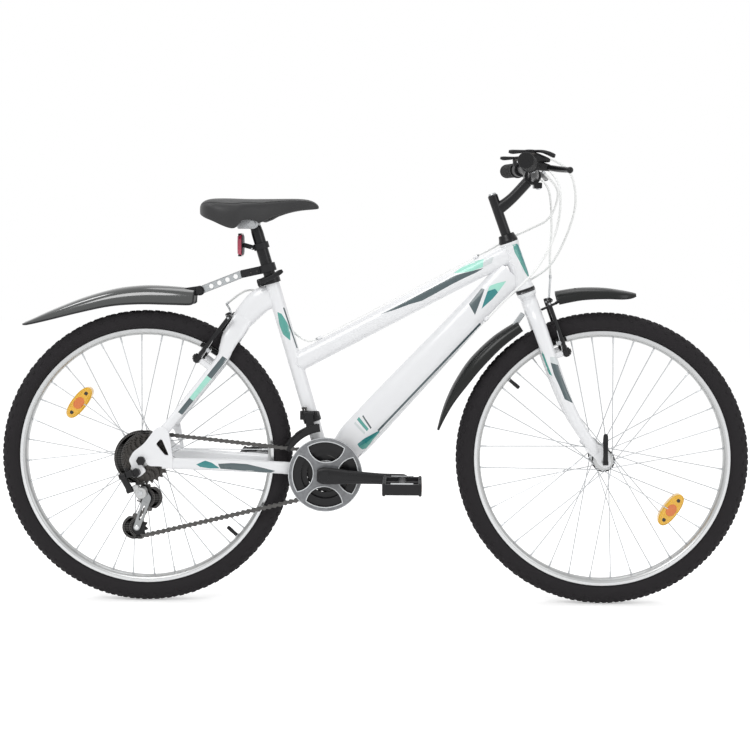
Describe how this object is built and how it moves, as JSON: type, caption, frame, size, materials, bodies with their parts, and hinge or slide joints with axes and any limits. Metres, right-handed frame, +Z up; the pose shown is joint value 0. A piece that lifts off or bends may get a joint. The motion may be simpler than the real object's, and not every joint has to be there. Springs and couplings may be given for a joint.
{
  "type": "bicycle",
  "caption": "Sloping-frame mountain-style bicycle with derailleur gears, rim brakes, mudguards and a quick-release saddle post.",
  "frame": {"origin": "on the ground, midway between the two wheels' axles", "axes": "+X towards the front wheel, +Z up, -Y the side of the chain"},
  "size_m": [1.663, 0.6062, 1.0027],
  "materials": {
    "white_paint": "gloss white enamel",
    "black_paint": "satin black",
    "steel": "zinc-plated",
    "alloy": "satin",
    "dark_steel": "oiled",
    "black_plastic": "matt",
    "grey_plastic": "satin",
    "white_plastic": "gloss",
    "red_plastic": "gloss, moulded prisms",
    "rubber": "matt",
    "tyre": "matt, knobbly"
  },
  "bodies": {
    "frame": {"frame": "white_paint", "bottom_bracket": "black_paint", "seat_collar": "black_paint", "chain": "dark_steel", "front_derailleur_clamp": "black_paint", "rear_axle": "steel", "derailleur_bracket": "black_paint", "rear_shift_housing": "white_plastic", "front_shift_housing": "white_plastic", "rear_brake_housing": "white_plastic"},
    "seatpost": {"seatpost": "black_paint", "rear_reflector": "red_plastic", "mudguard_arm": "grey_plastic"},
    "saddle": {"saddle_clamp": "steel", "saddle_rails": "steel", "saddle": "black_plastic"},
    "rear_mudguard": {"rear_mudguard": "black_plastic"},
    "seat_lever": {"seat_lever": "black_paint"},
    "steering": {"fork": "white_paint", "headset_locknut": "black_paint", "stem": "black_paint", "handlebar": "black_paint", "grip_left": "rubber", "grip_right": "rubber", "brake_bracket_left": "black_plastic", "brake_bracket_right": "black_plastic", "front_mudguard": "black_plastic", "front_mudguard_flap": "black_plastic", "front_axle": "steel", "front_brake_housing": "white_plastic"},
    "front_wheel": {"front_tyre": "tyre", "front_inner_tube": "rubber", "front_rim": "alloy", "front_hub": "alloy"},
    "rear_wheel": {"rear_tyre": "tyre", "rear_inner_tube": "rubber", "rear_rim": "alloy", "rear_hub": "alloy"},
    "freewheel": {"freewheel": "dark_steel"},
    "crank": {"crank_right": "black_paint", "crank_left": "black_paint", "chainrings": "dark_steel", "chainguard": "grey_plastic"},
    "pedal_right": {"pedal_right": "black_plastic"},
    "pedal_left": {"pedal_left": "black_plastic"},
    "brake_lever_left": {"brake_lever_left": "black_paint"},
    "brake_lever_right": {"brake_lever_right": "black_paint"},
    "shift_lever_left": {"shift_lever_left": "black_plastic"},
    "shift_lever_right": {"shift_lever_right": "black_plastic"},
    "front_quick_release": {"front_quick_release": "black_paint"},
    "front_brake_arm_left": {"front_brake_arm_left": "black_paint"},
    "front_brake_arm_right": {"front_brake_arm_right": "black_paint"},
    "rear_brake_arm_left": {"rear_brake_arm_left": "black_paint"},
    "rear_brake_arm_right": {"rear_brake_arm_right": "black_paint"},
    "derailleur_link": {"derailleur_link": "black_paint"},
    "derailleur_knuckle": {"derailleur_knuckle": "alloy"},
    "derailleur_cage": {"derailleur_cage": "steel"},
    "guide_pulley": {"guide_pulley": "black_plastic"},
    "tension_pulley": {"tension_pulley": "black_plastic"},
    "front_derailleur_cage": {"front_derailleur_cage": "black_paint"}
  },
  "joints": [
    {"name": "steering_turn", "type": "hinge", "parent": "frame", "child": "steering", "pos_m": [0.4716, 0, 0.3126], "axis": [-0.3338, 0, 0.9426], "range_deg": [-75, 75], "deforming": ["rear_brake_housing", "rear_shift_housing", "front_shift_housing"]},
    {"name": "front_wheel_spin", "type": "hinge", "parent": "steering", "child": "front_wheel", "pos_m": [0.5065, 0, 0.325], "axis": [0, 1, 0], "continuous": true},
    {"name": "rear_wheel_spin", "type": "hinge", "parent": "frame", "child": "rear_wheel", "pos_m": [-0.5065, 0, 0.325], "axis": [0, 1, 0], "continuous": true},
    {"name": "crank_spin", "type": "hinge", "parent": "frame", "child": "crank", "pos_m": [-0.105, 0, 0.294], "axis": [0, 1, 0], "continuous": true, "deforming": ["chain"]},
    {"name": "freewheel_spin", "type": "hinge", "parent": "frame", "child": "freewheel", "pos_m": [-0.5065, 0, 0.325], "axis": [0, 1, 0], "continuous": true, "deforming": ["chain"]},
    {"name": "pedal_right_spin", "type": "hinge", "parent": "crank", "child": "pedal_right", "pos_m": [0.0649, -0.15, 0.28807], "axis": [0, 1, 0], "continuous": true},
    {"name": "pedal_left_spin", "type": "hinge", "parent": "crank", "child": "pedal_left", "pos_m": [-0.2749, 0.15, 0.29993], "axis": [0, 1, 0], "continuous": true},
    {"name": "seatpost_slide", "type": "slide", "parent": "frame", "child": "seatpost", "axis": [-0.284, 0, 0.9588], "range_m": [0, 0.06]},
    {"name": "saddle_tilt", "type": "hinge", "parent": "seatpost", "child": "saddle", "pos_m": [-0.26974, 0, 0.8434], "axis": [0, 1, 0], "range_deg": [-12, 12]},
    {"name": "mudguard_tilt", "type": "hinge", "parent": "seatpost", "child": "rear_mudguard", "pos_m": [-0.39, 0, 0.6935], "axis": [0, 1, 0], "range_deg": [-4, 20]},
    {"name": "seat_lever_swing", "type": "hinge", "parent": "frame", "child": "seat_lever", "pos_m": [-0.25383, -0.0232, 0.71194], "axis": [0.284, 0, -0.9588], "range_deg": [0, 120]},
    {"name": "front_release_swing", "type": "hinge", "parent": "steering", "child": "front_quick_release", "pos_m": [0.5065, -0.069, 0.325], "axis": [1, 0, 0], "range_deg": [0, 180]},
    {"name": "brake_lever_left_pull", "type": "hinge", "parent": "steering", "child": "brake_lever_left", "pos_m": [0.36645, 0.144, 0.96467], "axis": [0.1959, 0, 0.9806], "range_deg": [0, 22], "stiffness_Nm_per_rad": 1, "springref_deg": -17.19, "deforming": ["front_brake_housing"]},
    {"name": "brake_lever_right_pull", "type": "hinge", "parent": "steering", "child": "brake_lever_right", "pos_m": [0.36645, -0.144, 0.96467], "axis": [-0.1959, 0, -0.9806], "range_deg": [0, 22], "stiffness_Nm_per_rad": 1, "springref_deg": -17.19, "deforming": ["rear_brake_housing"]},
    {"name": "front_brake_left_swing", "type": "hinge", "parent": "steering", "child": "front_brake_arm_left", "pos_m": [0.41792, 0.04, 0.56305], "axis": [0.9426, 0, 0.3338], "range_deg": [0, 4.5], "deforming": ["front_brake_housing"]},
    {"name": "front_brake_right_swing", "type": "hinge", "parent": "steering", "child": "front_brake_arm_right", "pos_m": [0.41792, -0.04, 0.56305], "axis": [-0.9426, 0, -0.3338], "range_deg": [0, 4.5], "deforming": ["front_brake_housing"]},
    {"name": "rear_brake_left_swing", "type": "hinge", "parent": "frame", "child": "rear_brake_arm_left", "pos_m": [-0.385, 0.04, 0.5435], "axis": [0.797, 0, -0.604], "range_deg": [0, 4.5], "deforming": ["rear_brake_housing"]},
    {"name": "rear_brake_right_swing", "type": "hinge", "parent": "frame", "child": "rear_brake_arm_right", "pos_m": [-0.385, -0.04, 0.5435], "axis": [-0.797, 0, 0.604], "range_deg": [0, 4.5], "deforming": ["rear_brake_housing"]},
    {"name": "shift_lever_left_push", "type": "hinge", "parent": "steering", "child": "shift_lever_left", "pos_m": [0.33045, 0.15, 0.99617], "axis": [0, 0, 1], "range_deg": [0, 40], "deforming": ["front_shift_housing"]},
    {"name": "shift_lever_right_push", "type": "hinge", "parent": "steering", "child": "shift_lever_right", "pos_m": [0.33045, -0.15, 0.99617], "axis": [0, 0, -1], "range_deg": [0, 60], "deforming": ["rear_shift_housing"]},
    {"name": "derailleur_link_swing", "type": "hinge", "parent": "frame", "child": "derailleur_link", "pos_m": [-0.5455, -0.084, 0.292], "axis": [-0.9429, 0, -0.333], "range_deg": [0, 37], "deforming": ["chain"]},
    {"name": "derailleur_knuckle_swing", "type": "hinge", "parent": "derailleur_link", "child": "derailleur_knuckle", "pos_m": [-0.5335, -0.064, 0.258], "axis": [-0.9429, 0, -0.333], "range_deg": [-37, 0], "deforming": ["chain"]},
    {"name": "derailleur_cage_swing", "type": "hinge", "parent": "derailleur_knuckle", "child": "derailleur_cage", "pos_m": [-0.5095, -0.045, 0.252], "axis": [0, -1, 0], "range_deg": [-15, 25], "stiffness_Nm_per_rad": 1, "deforming": ["chain"]},
    {"name": "guide_pulley_spin", "type": "hinge", "parent": "derailleur_cage", "child": "guide_pulley", "pos_m": [-0.5, -0.038, 0.236], "axis": [0, 1, 0], "continuous": true, "deforming": ["chain"]},
    {"name": "tension_pulley_spin", "type": "hinge", "parent": "derailleur_cage", "child": "tension_pulley", "pos_m": [-0.523, -0.038, 0.171], "axis": [0, 1, 0], "continuous": true, "deforming": ["chain"]},
    {"name": "front_derailleur_swing", "type": "hinge", "parent": "frame", "child": "front_derailleur_cage", "pos_m": [-0.14365, -0.03, 0.42498], "axis": [-1, 0, 0], "range_deg": [0, 12], "deforming": ["chain"]}
  ],
  "couplings": [
    {"joint": "freewheel_spin", "follows": "crank_spin", "ratio": 0.78571},
    {"joint": "guide_pulley_spin", "follows": "crank_spin", "ratio": -2},
    {"joint": "tension_pulley_spin", "follows": "crank_spin", "ratio": 2},
    {"joint": "front_brake_left_swing", "follows": "brake_lever_left_pull", "ratio": 0.2},
    {"joint": "front_brake_right_swing", "follows": "brake_lever_left_pull", "ratio": 0.2},
    {"joint": "rear_brake_left_swing", "follows": "brake_lever_right_pull", "ratio": 0.2},
    {"joint": "rear_brake_right_swing", "follows": "brake_lever_right_pull", "ratio": 0.2},
    {"joint": "derailleur_link_swing", "follows": "shift_lever_right_push", "ratio": 0.6},
    {"joint": "derailleur_knuckle_swing", "follows": "shift_lever_right_push", "ratio": -0.6},
    {"joint": "front_derailleur_swing", "follows": "shift_lever_left_push", "ratio": 0.3}
  ]
}
